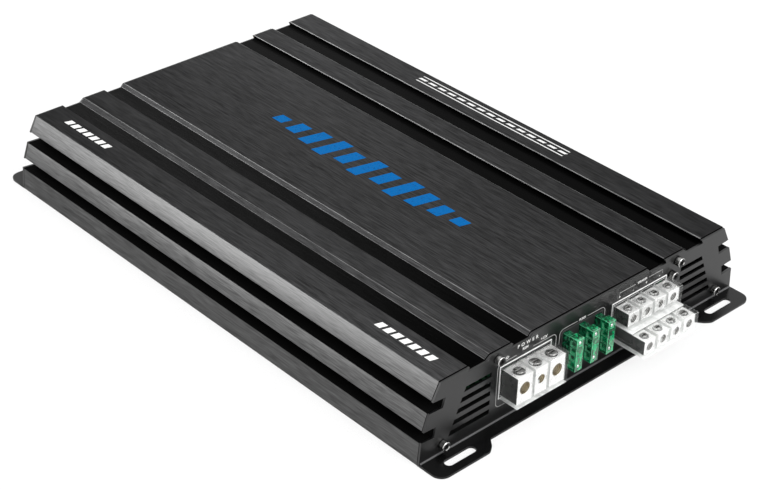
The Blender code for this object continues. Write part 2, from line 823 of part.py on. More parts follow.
def control_openings():
    openings = [circle(at, SHAFT_RADIUS + 0.6, 12) for at in KNOBS.values()]
    for y, z in SWITCHES.values():
        half_y, half_z = SWITCH_SLOT[0] / 2, SWITCH_SLOT[1] / 2
        openings.append(rectangle(y - half_y, y + half_y, z - half_z, z + half_z))
    for y in RCA_PAIRS.values():
        openings += [circle((y, z), RCA_RADIUS + 0.4) for z in RCA_HEIGHTS]
    y, z = REMOTE_PORT
    half_y, half_z = REMOTE_SIZE[0] / 2 + GAP, REMOTE_SIZE[1] / 2 + GAP
    openings.append(rectangle(y - half_y, y + half_y, z - half_z, z + half_z))
    openings.append(circle(LED_AT, LED_RADIUS + 0.4, 12))
    return openings


def main():
    clear_scene()
    aluminium = make_material("brushed_black_aluminium", (0.035, 0.035, 0.037), 0.38, 0.9)
    painted = make_material("black_painted_steel", (0.045, 0.045, 0.047), 0.5, 0.2)
    screw_steel = make_material("plated_steel", (0.62, 0.61, 0.58), 0.25, 1.0)
    nickel = make_material("nickel", (0.78, 0.77, 0.74), 0.22, 1.0)
    tin = make_material("tinned_link", (0.72, 0.72, 0.70), 0.3, 1.0)
    clear_plastic = make_material("clear_plastic", (0.92, 0.94, 0.93), 0.08, 0.0, 0.9)
    green_plastic = make_material("green_plastic", (0.01, 0.42, 0.16), 0.12, 0.0, 0.6)
    black_plastic = make_material("black_plastic", (0.02, 0.02, 0.02), 0.45)
    green_board = make_material("circuit_board", (0.02, 0.16, 0.07), 0.4)
    iron = make_material("ferrite", (0.09, 0.10, 0.09), 0.6)
    lens = make_material("light_lens", (0.1, 0.25, 0.8), 0.15, 0.0, 0.5)

    make_heatsink(aluminium)
    make_bottom_cover(painted)
    make_end_plate("terminal_end_plate", 1, terminal_openings(), painted)
    make_end_plate("control_end_plate", -1, control_openings(), painted)
    for number, corner in enumerate(CORNER_SCREWS, 1):
        make_screw(f"terminal_plate_screw_{number}", 1, corner, screw_steel)
        make_screw(f"control_plate_screw_{number}", -1, corner, screw_steel)
    make_screw("terminal_block_screw", 1, BLOCK_SCREW, screw_steel)
    make_power_terminals(clear_plastic, nickel, screw_steel)
    make_speaker_terminals(clear_plastic, nickel, screw_steel)
    make_fuses(black_plastic, green_plastic, tin)
    make_knobs(black_plastic)
    make_switches(black_plastic)
    make_control_board(green_board)
    make_inputs(black_plastic, lens)
    make_boards(green_board, black_plastic, iron)


main()
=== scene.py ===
"""The looks of a four-channel car audio amplifier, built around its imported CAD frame.

Sizes are in millimetres in the helpers' arguments, and become metres in the meshes.
"""

import json
import math

import bmesh
import bpy
from mathutils import Matrix, Vector


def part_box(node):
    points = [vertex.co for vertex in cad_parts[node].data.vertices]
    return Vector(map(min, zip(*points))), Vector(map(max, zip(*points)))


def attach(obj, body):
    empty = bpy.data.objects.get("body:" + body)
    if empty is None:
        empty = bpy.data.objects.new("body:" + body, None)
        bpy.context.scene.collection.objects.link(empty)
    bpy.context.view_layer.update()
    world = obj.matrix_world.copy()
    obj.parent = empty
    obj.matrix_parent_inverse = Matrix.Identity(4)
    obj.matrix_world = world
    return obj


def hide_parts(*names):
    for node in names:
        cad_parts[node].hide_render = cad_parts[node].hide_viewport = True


MM = 0.001
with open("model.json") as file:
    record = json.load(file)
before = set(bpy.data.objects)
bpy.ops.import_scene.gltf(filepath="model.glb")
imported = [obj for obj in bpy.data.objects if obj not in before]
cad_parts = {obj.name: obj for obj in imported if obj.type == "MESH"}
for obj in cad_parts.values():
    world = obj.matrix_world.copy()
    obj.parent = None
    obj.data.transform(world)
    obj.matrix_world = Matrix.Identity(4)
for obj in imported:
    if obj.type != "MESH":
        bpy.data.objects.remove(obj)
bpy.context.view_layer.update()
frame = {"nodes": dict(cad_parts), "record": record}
RECORD = frame["record"]
BODY_OF = {node: body for body, nodes in RECORD["behaviour"]["bodies"].items() for node in nodes}
SLOT_OF = {part["node"]: part["material_slot"] for part in RECORD["subparts"]}

# Sizes shared with the CAD, in millimetres.
HALF_LENGTH = 164.0
HALF_WIDTH = 115.0
TOP = 43.5
PLATE_OUT = 165.5
KNOBS = {
    "front_level": (-4.0, 30.5),
    "front_filter": (-20.0, 30.5),
    "rear_level": (-4.0, 17.0),
    "rear_filter": (-20.0, 17.0),
}
SWITCHES = {"front_range": (13.0, 30.5), "rear_range": (13.0, 17.0)}
RCA_COLUMNS = {"front": 52.0, "rear": 35.0}
RCA_HEIGHTS = {"left": 30.7, "right": 17.0}
FUSE_CENTRES = [-17.5, -6.0, 5.5]
SPEAKER_COLUMNS = [21.4, 31.55, 41.7, 51.85]
SPEAKER_WIRE_HEIGHTS = {"lower": 17.6, "upper": 28.0}
SPEAKER_HOLE_RADIUS = 2.3
POWER_CELLS = {"ground": -57.2, "remote": -46.0, "battery": -34.8}
POWER_WIRE_HEIGHT = 24.2
POWER_HOLE_RADII = {"ground": 3.4, "remote": 2.5, "battery": 3.4}
FUSE_HEAD_DEPTH = 5.0
FUSE_TEST_POINT = 7.0
KNOB_SLOT_DEPTH = 1.4
REMOTE_PORT_Y = -42.0
SCREW_SOCKET_RADIUS = 1.5
SHEET = 1.2

# In the clear housings, in millimetres: where the ribs stand along Y, and below what height the floor is.
POWER_RIBS = (-52.0, -40.0)
POWER_FLOOR = 16.1
SPEAKER_RIBS = (25.0, 48.0)
SPEAKER_FLOOR = 13.6

# In the speaker terminal, in millimetres: the shelf under the upper row, and black blocks of painted shade
# behind the lower one.
SPEAKER_BACK = 166.0
SHELF_FRONT = 179.3
SHELF_SIDES = (16.7, 56.5)
SHELF_HEIGHTS = (22.1, 22.8)
SHADE_BLOCK_FRONT = 178.5
SHADE_BLOCK_HALF_WIDTH = 3.9
SHADE_BLOCK_HEIGHTS = (13.8, 21.7)

# How the end plates fold into their flanges, in millimetres.
FOLD_RADIUS = 0.7
FOLD_REACH = 114.4
FLANGE_TOP = 2.0

# Printed marks: the gap under the ink and the thickness of its film in millimetres, and the height of a
# capital as a share of the font's size.
INK_GAP = 0.01
INK_FILM = 0.04
CAPITAL_SHARE = 0.7

# The studio, in metres. The floor covers little of the background, so its shadow stays faint.
FLOOR_COVER = 0.25
FLOOR_FADE = 0.75
FLOOR_END = 1.7
FLOOR_DROP = 0.0002

# The camera: angles in degrees, the lens in millimetres and its place in metres.
CAMERA_AZIMUTH = 46.664
CAMERA_ELEVATION = 32.763
CAMERA_ROLL = 1.653
CAMERA_LENS = 88.74
CAMERA_PLACE = (0.64533, -0.59670, 0.56034)


# ---------------------------------------------------------------- materials
def grey(tone):
    return (tone, tone, tone)


class Surface:
    """A Principled material with helpers that add procedural detail in object space."""

    def __init__(self, name, **values):
        self.material = bpy.data.materials.new(name)
        self.material.use_nodes = True
        self.nodes = self.material.node_tree.nodes
        self.links = self.material.node_tree.links
        self.shader = self.nodes["Principled BSDF"]
        for socket, value in values.items():
            self.shader.inputs[socket.replace("_", " ")].default_value = value
        self.bumps = []

    def noise(self, scale, detail=3.0, distortion=0.0):
        """Noise with as many features per metre along x, y and z as scale gives."""
        coordinates = self.nodes.new("ShaderNodeTexCoord")
        mapping = self.nodes.new("ShaderNodeMapping")
        mapping.inputs["Scale"].default_value = scale
        noise = self.nodes.new("ShaderNodeTexNoise")
        noise.inputs["Scale"].default_value = 1.0
        noise.inputs["Detail"].default_value = detail
        noise.inputs["Distortion"].default_value = distortion
        self.links.new(coordinates.outputs["Object"], mapping.inputs["Vector"])
        self.links.new(mapping.outputs["Vector"], noise.inputs["Vector"])
        return noise.outputs["Fac"]

    def waves(self, scale, axis="X", distortion=0.0):
        """Bands across an axis, at 20 radians a metre for a scale of one."""
        coordinates = self.nodes.new("ShaderNodeTexCoord")
        wave = self.nodes.new("ShaderNodeTexWave")
        wave.bands_direction = axis
        wave.inputs["Scale"].default_value = scale
        wave.inputs["Distortion"].default_value = distortion
        self.links.new(coordinates.outputs["Object"], wave.inputs["Vector"])
        return wave.outputs["Fac"]

    def blend(self, first, second, share):
        """Mixes two values, with this share of the second."""
        mix = self.nodes.new("ShaderNodeMix")
        mix.inputs["Factor"].default_value = share
        self.links.new(first, mix.inputs["A"])
        self.links.new(second, mix.inputs["B"])
        return mix.outputs["Result"]

    def colour(self, value, stops):
        """Colours along a value, as (position, (r, g, b)) stops."""
        ramp = self.nodes.new("ShaderNodeValToRGB")
        while len(ramp.color_ramp.elements) < len(stops):
            ramp.color_ramp.elements.new(0.5)
        for element, (position, rgb) in zip(ramp.color_ramp.elements, stops):
            element.position = position
            element.color = (*rgb, 1.0)
        self.links.new(value, ramp.inputs["Fac"])
        self.links.new(ramp.outputs["Color"], self.shader.inputs["Base Color"])

    def between(self, value, socket, low, high, span=(0.3, 0.7)):
        """Drives a socket from low to high while the value goes through its span."""
        scale = self.nodes.new("ShaderNodeMapRange")
        scale.inputs["From Min"].default_value = span[0]
        scale.inputs["From Max"].default_value = span[1]
        scale.inputs["To Min"].default_value = low
        scale.inputs["To Max"].default_value = high
        self.links.new(value, scale.inputs["Value"])
        self.links.new(scale.outputs["Result"], self.shader.inputs[socket])

    def shade(self, which, first, last):
        """Multiplies the colour by a factor that drifts along x, or with x times y, in object space:
        painted light and shade.
        """
        coordinates = self.nodes.new("ShaderNodeTexCoord")
        parts = self.nodes.new("ShaderNodeSeparateXYZ")
        self.links.new(coordinates.outputs["Object"], parts.inputs["Vector"])
        place, reach = parts.outputs["X"], HALF_LENGTH * MM
        if which == "xy":
            product = self.nodes.new("ShaderNodeMath")
            product.operation = "MULTIPLY"
            self.links.new(parts.outputs["X"], product.inputs[0])
            self.links.new(parts.outputs["Y"], product.inputs[1])
            place, reach = product.outputs["Value"], HALF_LENGTH * HALF_WIDTH * MM * MM
        factor = self.nodes.new("ShaderNodeMapRange")
        factor.inputs["From Min"].default_value = -reach
        factor.inputs["From Max"].default_value = reach
        factor.inputs["To Min"].default_value = first
        factor.inputs["To Max"].default_value = last
        self.links.new(place, factor.inputs["Value"])
        scaled = self.nodes.new("ShaderNodeVectorMath")
        scaled.operation = "SCALE"
        self.links.new(self.shader.inputs["Base Color"].links[0].from_socket, scaled.inputs[0])
        self.links.new(factor.outputs["Result"], scaled.inputs["Scale"])
        self.links.new(scaled.outputs["Vector"], self.shader.inputs["Base Color"])

    def bump(self, value, strength, depth_mm):
        """Adds relief on top of what the surface has."""
        bump = self.nodes.new("ShaderNodeBump")
        bump.inputs["Strength"].default_value = strength
        bump.inputs["Distance"].default_value = depth_mm * MM
        self.links.new(value, bump.inputs["Height"])
        if self.bumps:
            self.links.new(self.bumps[-1].outputs["Normal"], bump.inputs["Normal"])
        self.bumps.append(bump)
        self.links.new(bump.outputs["Normal"], self.shader.inputs["Normal"])


def brushed_aluminium(name, dark, light, rough, painted_light_drift=None, grazing=0.4):
    """Black anodised aluminium with fine brush lines along its length.

    painted_light_drift is (which, first, last): painted light and shade that scales the colour from first
    to last times, along the length for "x", or from one pair of opposite corners to the other for "xy".
    grazing is how bright the finish gets where it is seen edge on.
    """
    surface = Surface(name, Metallic=0.92, Specular_IOR_Level=0.3, Specular_Tint=(*grey(grazing), 1.0))
    fine = surface.noise((110, 3000, 3000), 1.0)
    long = surface.noise((22, 900, 900), 2.0)
    lines = surface.blend(fine, long, 0.28)
    surface.colour(lines, [(0.34, dark), (0.66, light)])
    surface.between(lines, "Roughness", rough - 0.05, rough + 0.06)
    surface.bump(lines, 0.2, 0.015)
    if painted_light_drift:
        surface.shade(*painted_light_drift)
    return surface.material


def satin_paint(name, dark, light, rough, **values):
    """Powder-coated sheet steel: an even colour with a fine orange-peel grain."""
    surface = Surface(name, Metallic=0.0, **values)
    peel = surface.noise((900, 900, 900), 3.0)
    cloud = surface.noise((28, 28, 28), 2.0)
    surface.colour(surface.blend(peel, cloud, 0.5), [(0.35, dark), (0.65, light)])
    surface.between(peel, "Roughness", rough - 0.02, rough + 0.03)
    surface.bump(peel, 0.05, 0.008)
    return surface.material


def plated_metal(name, dark, light, rough, metallic=1.0):
    """Nickel, tin, steel or gold plate with faint handling marks."""
    surface = Surface(name, Metallic=metallic)
    marks = surface.noise((300, 300, 300), 4.0, 0.4)
    surface.colour(marks, [(0.3, dark), (0.7, light)])
    surface.between(marks, "Roughness", rough - 0.05, rough + 0.1)
    surface.bump(marks, 0.05, 0.01)
    return surface.material


def moulded_plastic(name, dark, light, rough):
    """An opaque moulding with a fine spark-eroded grain."""
    surface = Surface(name, Metallic=0.0)
    texture = surface.noise((1400, 1400, 1400), 2.0)
    cloud = surface.noise((60, 60, 60), 2.0)
    surface.colour(surface.blend(texture, cloud, 0.5), [(0.35, dark), (0.65, light)])
    surface.between(texture, "Roughness", rough - 0.06, rough + 0.08)
    surface.bump(texture, 0.2, 0.02)
    return surface.material


def clear_plastic(name, tints, rough, thin, thick):
    """A clear thin-walled moulding: its cover rises from thin, seen square on, to thick, seen edge on."""
    surface = Surface(name, Metallic=0.0, IOR=1.5)
    flow = surface.noise((90, 160, 120), 2.0, 1.2)
    surface.colour(flow, [(0.3, tints[0]), (0.7, tints[1])])
    surface.between(flow, "Roughness", rough * 0.6, rough * 1.5)
    surface.bump(flow, 0.03, 0.02)
    facing = surface.nodes.new("ShaderNodeLayerWeight")
    facing.inputs["Blend"].default_value = 0.5
    surface.between(facing.outputs["Facing"], "Alpha", thin, thick, (0.5, 0.92))
    return surface.material


def frosted_plastic(name, dark, light, thin, thick):
    """A milky part of a clear moulding, whose cover drifts between thin and thick."""
    surface = Surface(name, Metallic=0.0, IOR=1.5)
    flow = surface.noise((160, 220, 200), 3.0, 0.8)
    surface.colour(flow, [(0.35, dark), (0.65, light)])
    surface.between(flow, "Roughness", 0.3, 0.5)
    surface.between(flow, "Alpha", thin, thick)
    return surface.material


def threaded_metal(name, root_shade, crest, rough, pitch_mm):
    """A tapped hole along X: bright crests and painted shade in the roots, a pitch apart."""
    surface = Surface(name, Metallic=0.9)
    bands_per_metre = 20 / (2 * math.pi)
    thread = surface.waves(1 / (bands_per_metre * pitch_mm * MM), "X", 0.4)
    surface.colour(thread, [(0.25, root_shade), (0.75, crest)])
    surface.between(thread, "Roughness", rough, rough + 0.1)
    surface.bump(thread, 0.5, 0.2)
    return surface.material


def cast_plastic(name, tints, rough, transmission):
    """A solid tinted moulding with bumpy flow lines, whose colour swings from dark to bright in patches:
    painted highlights and refraction.
    """
    surface = Surface(name, Metallic=0.0, Transmission_Weight=transmission, IOR=1.5, Coat_Weight=0.6)
    # The swing from dark to bright tints is painted highlight and refraction.
    flow = surface.noise((420, 520, 330), 2.0, 1.0)
    surface.colour(flow, [(0.34, tints[0]), (0.5, tints[1]), (0.62, tints[2])])
    surface.between(flow, "Roughness", rough * 0.6, rough * 1.5)
    surface.bump(flow, 0.2, 0.1)
    return surface.material


def printed_ink(name, dark, light):
    """Screen-printed ink with slight wear."""
    surface = Surface(name, Metallic=0.0, Specular_IOR_Level=0.02)
    wear = surface.noise((700, 700, 700), 4.0)
    surface.colour(wear, [(0.32, dark), (0.45, light)])
    surface.between(wear, "Roughness", 0.35, 0.55)
    return surface.material


def circuit_board():
    """Green solder mask over tracks that wander along the board."""
    surface = Surface("solder_mask", Metallic=0.0)
    tracks = surface.waves(60, "Y", 9.0)
    cloud = surface.noise((120, 120, 120), 2.0)
    pattern = surface.blend(tracks, cloud, 0.4)
    stops = [(0.4, (0.006, 0.06, 0.02)), (0.5, (0.012, 0.11, 0.04)), (0.62, (0.02, 0.16, 0.06))]
    surface.colour(pattern, stops)
    surface.between(tracks, "Roughness", 0.25, 0.4)
    surface.bump(pattern, 0.3, 0.05)
    return surface.material


def winding_copper():
    """Lacquered copper wire, wound close."""
    surface = Surface("lacquered_winding", Metallic=0.7)
    turns = surface.noise((500, 500, 90), 3.0)
    surface.colour(turns, [(0.35, (0.10, 0.03, 0.012)), (0.65, (0.42, 0.17, 0.07))])
    surface.between(turns, "Roughness", 0.25, 0.4)
    surface.bump(turns, 0.6, 0.2)
    return surface.material


# Painted light: the xy drift makes the top lighter towards the near right and far left corners, and darker
# towards the other two.
ALUMINIUM = brushed_aluminium(
    "brushed_black_aluminium", (0.015, 0.015, 0.0152), (0.053, 0.053, 0.054), 0.36, ("xy", 1.5, 0.68), 0.5
)
# Painted highlight: a lighter copy of the aluminium for the eased edges beside the slopes and for the lips
# on the far half.
EDGE_HIGHLIGHT = brushed_aluminium("edge_highlight_aluminium", grey(0.09), grey(0.26), 0.32)
# Painted light: lit and shaded copies of the aluminium for the three fins, lightest on the upper fin and
# darkest on the lower, and all lighter than the top.
FIN_LIGHT_TONES = {"upper": (0.085, 0.165), "middle": (0.066, 0.15), "lower": (0.055, 0.135)}
FINS = [
    brushed_aluminium(f"brushed_{name}_fin", grey(dark), grey(light), 0.4)
    for name, (dark, light) in FIN_LIGHT_TONES.items()
]
# The groove floors are darker than the top. Their drift along x is painted light and shade: lighter at the
# -X end, darker at the +X end.
GROOVE = brushed_aluminium("anodised_groove", grey(0.010), grey(0.013), 0.22, ("x", 3.2, 0.2), 0.15)
# Painted shade: near black for the notches under the fins, the hollow inside, and the end caps of the
# extrusion.
NOTCH_SHADE = satin_paint("notch_painted_shade", grey(0.0008), grey(0.0015), 0.9, Specular_IOR_Level=0.05)
PLATE = satin_paint("painted_end_plate", grey(0.003), (0.006, 0.006, 0.0063), 0.3, IOR=1.5)
# Painted shade: the flange and feet take a darker, duller copy of the end plates' paint where they face up.
FLANGE_SHADE = satin_paint("flange_painted_shade", grey(0.002), (0.004, 0.004, 0.0042), 0.24, Specular_IOR_Level=0.28)
# Painted highlight: a light grey for the strip along the fold between each end plate and its flange.
FOLD_HIGHLIGHT = satin_paint("fold_painted_highlight", (0.05, 0.05, 0.052), (0.09, 0.09, 0.093), 0.35)
COVER = satin_paint("painted_cover", grey(0.022), (0.034, 0.034, 0.035), 0.5)
BRIGHT_STEEL = plated_metal("bright_plated_steel", (0.5, 0.5, 0.49), (0.72, 0.71, 0.70), 0.22)
NICKEL = plated_metal("nickel_plate", (0.88, 0.88, 0.87), (0.98, 0.98, 0.97), 0.27, metallic=0.85)
# Painted shade: a dark copy of the nickel for the clamp sides that face -Y.
CLAMP_SHADED_SIDE = plated_metal("clamp_side_painted_shade", (0.05, 0.053, 0.051), (0.14, 0.146, 0.143), 0.3)
# The clamp screws' own darker steel. On the socket screws it is painted shade on the rims of the heads.
STEEL_AND_RIM_SHADE = plated_metal("clamp_screw_steel_and_rim_shade", (0.16, 0.16, 0.155), (0.42, 0.42, 0.41), 0.24)
BRASS = threaded_metal("bare_brass_thread", (0.12, 0.085, 0.04), (0.92, 0.82, 0.6), 0.25, 1.0)
GOLD = plated_metal("gold_plate", (0.72, 0.46, 0.13), (0.95, 0.68, 0.25), 0.2)
TIN = plated_metal("tinned_zinc", (0.55, 0.55, 0.54), (0.80, 0.80, 0.79), 0.3)
TIN_THREAD = threaded_metal("tinned_thread", (0.06, 0.06, 0.055), (0.85, 0.84, 0.82), 0.25, 0.8)
CLEAR = clear_plastic("clear_polycarbonate", ((0.86, 0.88, 0.87), (0.94, 0.95, 0.94)), 0.08, 0.025, 0.8)
FROST = frosted_plastic("frosted_rib", (0.88, 0.89, 0.88), (0.96, 0.97, 0.96), 0.55, 0.8)
# Painted highlight: near-opaque white for the housings' eased edges and rims, where the clear plastic
# catches the light.
CLEAR_EDGE_HIGHLIGHT = frosted_plastic("clear_edge_painted_highlight", (0.93, 0.94, 0.93), (0.99, 0.99, 0.99), 0.5, 0.85)
GREENS = ((0.0, 0.035, 0.012), (0.001, 0.19, 0.065), (0.015, 0.62, 0.24))
GREEN = cast_plastic("green_fuse_plastic", GREENS, 0.1, 0.5)
# Painted highlight: a lighter green for the eased edges of the fuses.
GREEN_EDGE_HIGHLIGHT = moulded_plastic("green_fuse_edge_highlight", (0.03, 0.30, 0.13), (0.16, 0.55, 0.32), 0.25)
BLACK = moulded_plastic("black_moulding", grey(0.008), grey(0.016), 0.45)
# Painted shade: near black for the rings round the clamp screws and the sockets of the socket screws.
PAINTED_SHADE_BLACK = moulded_plastic("painted_shade_black", grey(0.001), grey(0.003), 0.6)
WHITE_PLASTIC = moulded_plastic("white_moulding", (0.62, 0.62, 0.60), (0.78, 0.78, 0.76), 0.4)
RED_PLASTIC = moulded_plastic("red_moulding", (0.42, 0.02, 0.02), (0.6, 0.03, 0.03), 0.4)
# Painted shade: the fuse stems behind the heads take a darker copy of the green.
STEM_SHADE_GREENS = ((0.0, 0.03, 0.012), (0.002, 0.10, 0.04), (0.01, 0.24, 0.10))
STEM_GREEN_SHADE = cast_plastic("green_fuse_stem_shade", STEM_SHADE_GREENS, 0.14, 0.3)
FUSE_INK = printed_ink("fuse_ink", (0.01, 0.22, 0.09), (0.02, 0.30, 0.13))
LENS = cast_plastic("blue_lens", ((0.02, 0.08, 0.4), (0.03, 0.12, 0.5), (0.08, 0.25, 0.8)), 0.08, 0.7)
SLEEVE = moulded_plastic("capacitor_sleeve", (0.008, 0.01, 0.02), (0.02, 0.025, 0.05), 0.3)
BOARD = circuit_board()
COPPER = winding_copper()
WHITE_INK = printed_ink("white_ink", (0.5, 0.5, 0.49), (0.72, 0.72, 0.71))
BLUE_INK = printed_ink("blue_ink", (0.0, 0.07, 0.225), (0.0, 0.098, 0.305))
PLATE_INK = printed_ink("plate_ink", (0.24, 0.24, 0.24), (0.36, 0.36, 0.355))


# ---------------------------------------------------------------- mesh helpers
def add_object(name, mesh, materials, body, slot_name):
    """A new piece that rides on a body; slot_name is not used."""
    obj = bpy.data.objects.new(name, mesh)
    bpy.context.scene.collection.objects.link(obj)
    for material in materials:
        obj.data.materials.append(material)
    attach(obj, body)
    return obj


def smooth(obj, degrees=32):
    """Shades smoothly across edges that turn by less than the angle."""
    obj.data.shade_smooth()
    obj.data.set_sharp_from_angle(angle=math.radians(degrees))
    return obj


def new_mesh(name, shape):
    """Turns a bmesh into a mesh whose faces look outwards, and frees it."""
    mesh = bpy.data.meshes.new(name)
    bmesh.ops.recalc_face_normals(shape, faces=shape.faces)
    shape.to_mesh(mesh)
    shape.free()
    return mesh


def bevel(obj, width_mm, segments=2):
    """Eases the edges that turn by 30 degrees or more."""
    modifier = obj.modifiers.new("edges", "BEVEL")
    modifier.width = width_mm * MM
    modifier.segments = segments
    modifier.limit_method = "ANGLE"
    modifier.angle_limit = math.radians(30)
    modifier.harden_normals = False
    return obj


def finished(node, materials, width_mm=0.2, segments=2, pick=None, cutters=(), edge=-1):
    """A CAD node with its edges eased, and with its cutters taken away: the copy stands for the node.

    pick gives the material's number from a face's middle, in millimetres, and its normal. edge is the
    number of the eased edges' material, or -1 where they take their neighbours'.
    """
    shape = bmesh.new()
    shape.from_mesh(frame["nodes"][node].data)
    bmesh.ops.remove_doubles(shape, verts=shape.verts, dist=1e-6)
    bmesh.ops.dissolve_limit(
        shape,
        angle_limit=math.radians(1),
        verts=shape.verts,
        edges=shape.edges,
        use_dissolve_boundaries=False,
    )
    for face in shape.faces:
        face.material_index = pick(face.calc_center_median() / MM, face.normal) if pick else 0
    name = node + "_finish"
    obj = add_object(name, new_mesh(name, shape), materials, BODY_OF[node], SLOT_OF[node])
    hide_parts(node)
    for low, high in cutters:
        carve(obj, box_mesh(name + "_cutter", low, high))
    smooth(obj)
    bevel(obj, width_mm, segments).modifiers["edges"].material = edge
    return obj


def carve(obj, cutter_mesh):
    """Takes a closed mesh away from a piece, for good."""
    cutter = bpy.data.objects.new(cutter_mesh.name, cutter_mesh)
    bpy.context.scene.collection.objects.link(cutter)
    modifier = obj.modifiers.new("recess", "BOOLEAN")
    modifier.operation = "DIFFERENCE"
    modifier.object = cutter
    bpy.context.view_layer.update()
    result = bpy.data.meshes.new_from_object(obj.evaluated_get(bpy.context.evaluated_depsgraph_get()))
    obj.modifiers.remove(modifier)
    result.name = obj.data.name
    obj.data = result
    bpy.data.objects.remove(cutter)


def keep(node, material):
    """A CAD node shown as it is, with a better material."""
    obj = frame["nodes"][node]
    for slot in obj.material_slots:
        slot.material = material
    if not obj.material_slots:
        obj.data.materials.append(material)


def box_mesh(name, low, high):
    """A plain box between two corners."""
    shape = bmesh.new()
    bmesh.ops.create_cube(shape, size=1.0)
    size = [(b - a) * MM for a, b in zip(low, high)]
    middle = Vector([(a + b) / 2 * MM for a, b in zip(low, high)])
    bmesh.ops.scale(shape, vec=size, verts=shape.verts)
    bmesh.ops.translate(shape, vec=middle, verts=shape.verts)
    return new_mesh(name, shape)


def block(name, low, high, material, body="case", slot_name="", width_mm=0.15):
    """A small moulded or cut block between two corners, with eased edges unless their width is 0."""
    obj = add_object(name, box_mesh(name, low, high), [material], body, slot_name)
    return bevel(obj, width_mm) if width_mm else obj


def lathe(name, profile, at, direction, material, body="case", slot_name="", steps=32):
    """Spins (radius, height) points about an axis that starts at a place and points along +X, -X or +Z."""
    turn = {
        "+X": Matrix.Rotation(math.pi / 2, 3, "Y"),
        "-X": Matrix.Rotation(-math.pi / 2, 3, "Y"),
        "+Z": Matrix.Identity(3),
    }[direction]
    shape = bmesh.new()
    rings = []
    for radius, height in profile:
        if radius == 0:
            rings.append([shape.verts.new((0, 0, height * MM))])
            continue
        angles = [2 * math.pi * i / steps for i in range(steps)]
        ring = [(radius * MM * math.cos(a), radius * MM * math.sin(a), height * MM) for a in angles]
        rings.append([shape.verts.new(point) for point in ring])
    closed = profile[0] == profile[-1]
    if closed:
        for vert in rings.pop():
            shape.verts.remove(vert)
        rings.append(rings[0])
    for upper, lower in zip(rings, rings[1:]):
        for i in range(steps):
            j = (i + 1) % steps
            above = [upper[i % len(upper)], upper[j % len(upper)]]
            below = [lower[j % len(lower)], lower[i % len(lower)]]
            shape.faces.new(list(dict.fromkeys(above + below)))
    bmesh.ops.rotate(shape, cent=(0, 0, 0), matrix=turn, verts=shape.verts)
    bmesh.ops.translate(shape, vec=Vector(at) * MM, verts=shape.verts)
    return smooth(add_object(name, new_mesh(name, shape), [material], body, slot_name))


def flat_shape(name, outlines, level, facing, material):
    """Thin printed shapes: outlines are (u, v) loops on a plane facing +X, -X or +Z."""
    to_world = {
        "+X": lambda u, v, w: (level + w, u, v),
        "-X": lambda u, v, w: (-level - w, u, v),
        "+Z": lambda u, v, w: (u, v, level + w),
    }[facing]
    shape = bmesh.new()
    for outline in outlines:
        low = [shape.verts.new([c * MM for c in to_world(u, v, 0.0)]) for u, v in outline]
        high = [shape.verts.new([c * MM for c in to_world(u, v, INK_FILM)]) for u, v in outline]
        shape.faces.new(high)
        shape.faces.new(list(reversed(low)))
        for i in range(len(outline)):
            j = (i + 1) % len(outline)
            shape.faces.new([low[i], low[j], high[j], high[i]])
    return add_object(name, new_mesh(name, shape), [material], "case", "")


def stroke(points, width):
    """The outline of a line of even width through points, as one loop."""
    left, right = [], []
    for i, (x, y) in enumerate(points):
        before = Vector(points[max(i - 1, 0)])
        after = Vector(points[min(i + 1, len(points) - 1)])
        along = (after - before).normalized()
        side = Vector((-along.y, along.x)) * width / 2
        left.append((x + side.x, y + side.y))
        right.append((x - side.x, y - side.y))
    return left + right[::-1]


def arc(centre, radius, start, end, steps=8):
    """Points along an arc between two angles in degrees."""
    angles = [math.radians(start + (end - start) * i / steps) for i in range(steps + 1)]
    return [(centre[0] + radius * math.cos(a), centre[1] + radius * math.sin(a)) for a in angles]


def words(name, text, at, height, facing, material, spacing=1.0, body="case"):
    """Small plain lettering on an end plate or a fuse, as a thin solid that faces +X or -X."""
    curve = bpy.data.curves.new(name, "FONT")
    curve.body = text
    curve.size = height * MM / CAPITAL_SHARE
    curve.extrude = 0.015 * MM
    curve.align_x = "CENTER"
    curve.align_y = "CENTER"
    curve.space_character = spacing
    curve.offset = 0.04 * MM
    curve.resolution_u = 3
    source = bpy.data.objects.new(name, curve)
    bpy.context.scene.collection.objects.link(source)
    source.rotation_euler = {
        "+X": (math.pi / 2, 0, math.pi / 2),
        "-X": (math.pi / 2, 0, -math.pi / 2),
    }[facing]
    source.location = Vector(at) * MM
    bpy.context.view_layer.update()
    graph = bpy.context.evaluated_depsgraph_get()
    mesh = bpy.data.meshes.new_from_object(source.evaluated_get(graph))
    mesh.transform(source.matrix_world)
    bpy.data.objects.remove(source)
    mesh.name = name
    mesh.materials.clear()
    return add_object(name, mesh, [material], body, "")


